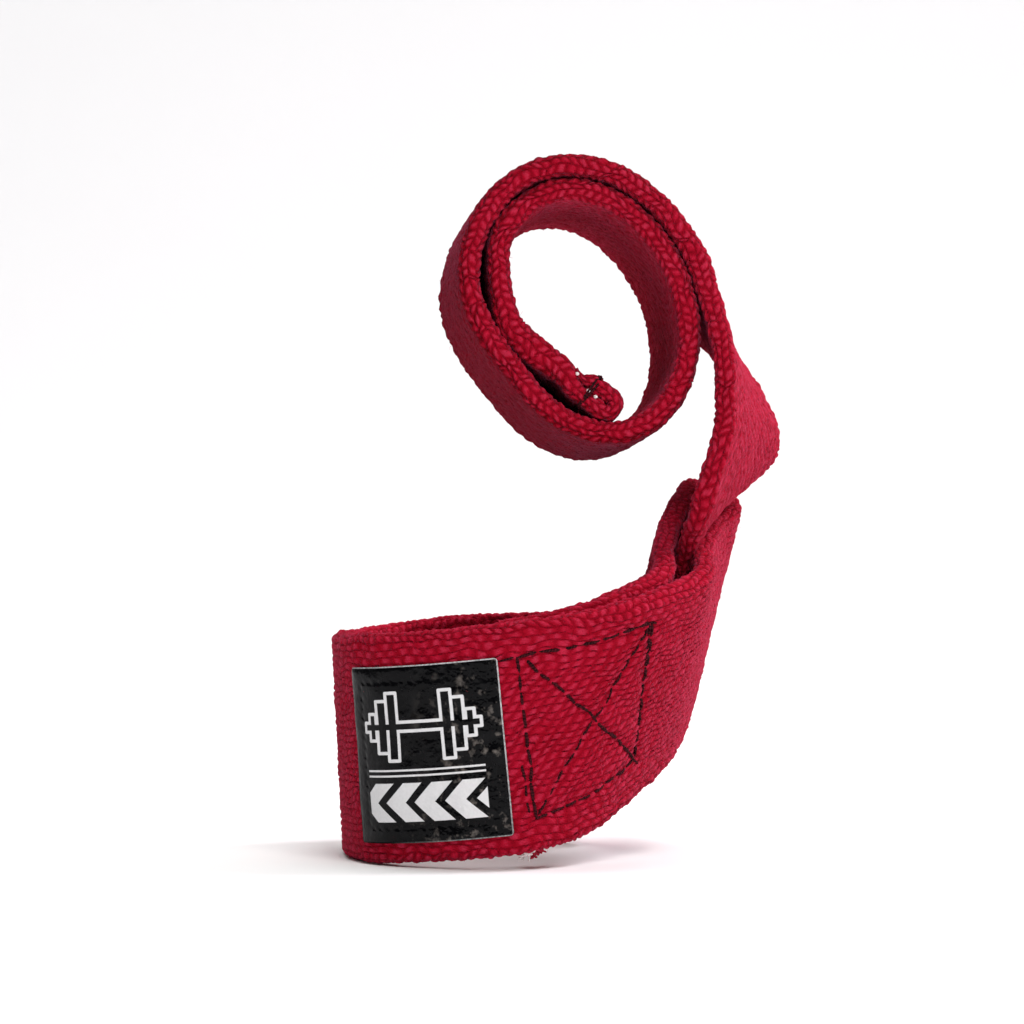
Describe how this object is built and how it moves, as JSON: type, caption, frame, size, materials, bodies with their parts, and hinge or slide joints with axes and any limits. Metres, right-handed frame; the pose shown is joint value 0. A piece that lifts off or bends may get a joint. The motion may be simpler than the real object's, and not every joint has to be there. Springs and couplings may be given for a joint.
{
  "type": "weightlifting strap",
  "caption": "Heavy cotton webbing strap closed round a wrist hollow by its own sewn eye, with its tail rolled as round a bar and ended in a hem.",
  "frame": {"origin": "middle of the wrist hollow, where the strap sits on a wrist", "axes": "+Z along the forearm towards the hand, +X towards the palm, the label faces -Y"},
  "size_m": [0.0779, 0.0747, 0.1188],
  "materials": {
    "webbing": "heavy matt cotton webbing, crimson, coarse plain weave",
    "label": "glossy black with a thin pale border"
  },
  "bodies": {
    "root": {"strap": "webbing", "label": "label"}
  },
  "joints": []
}
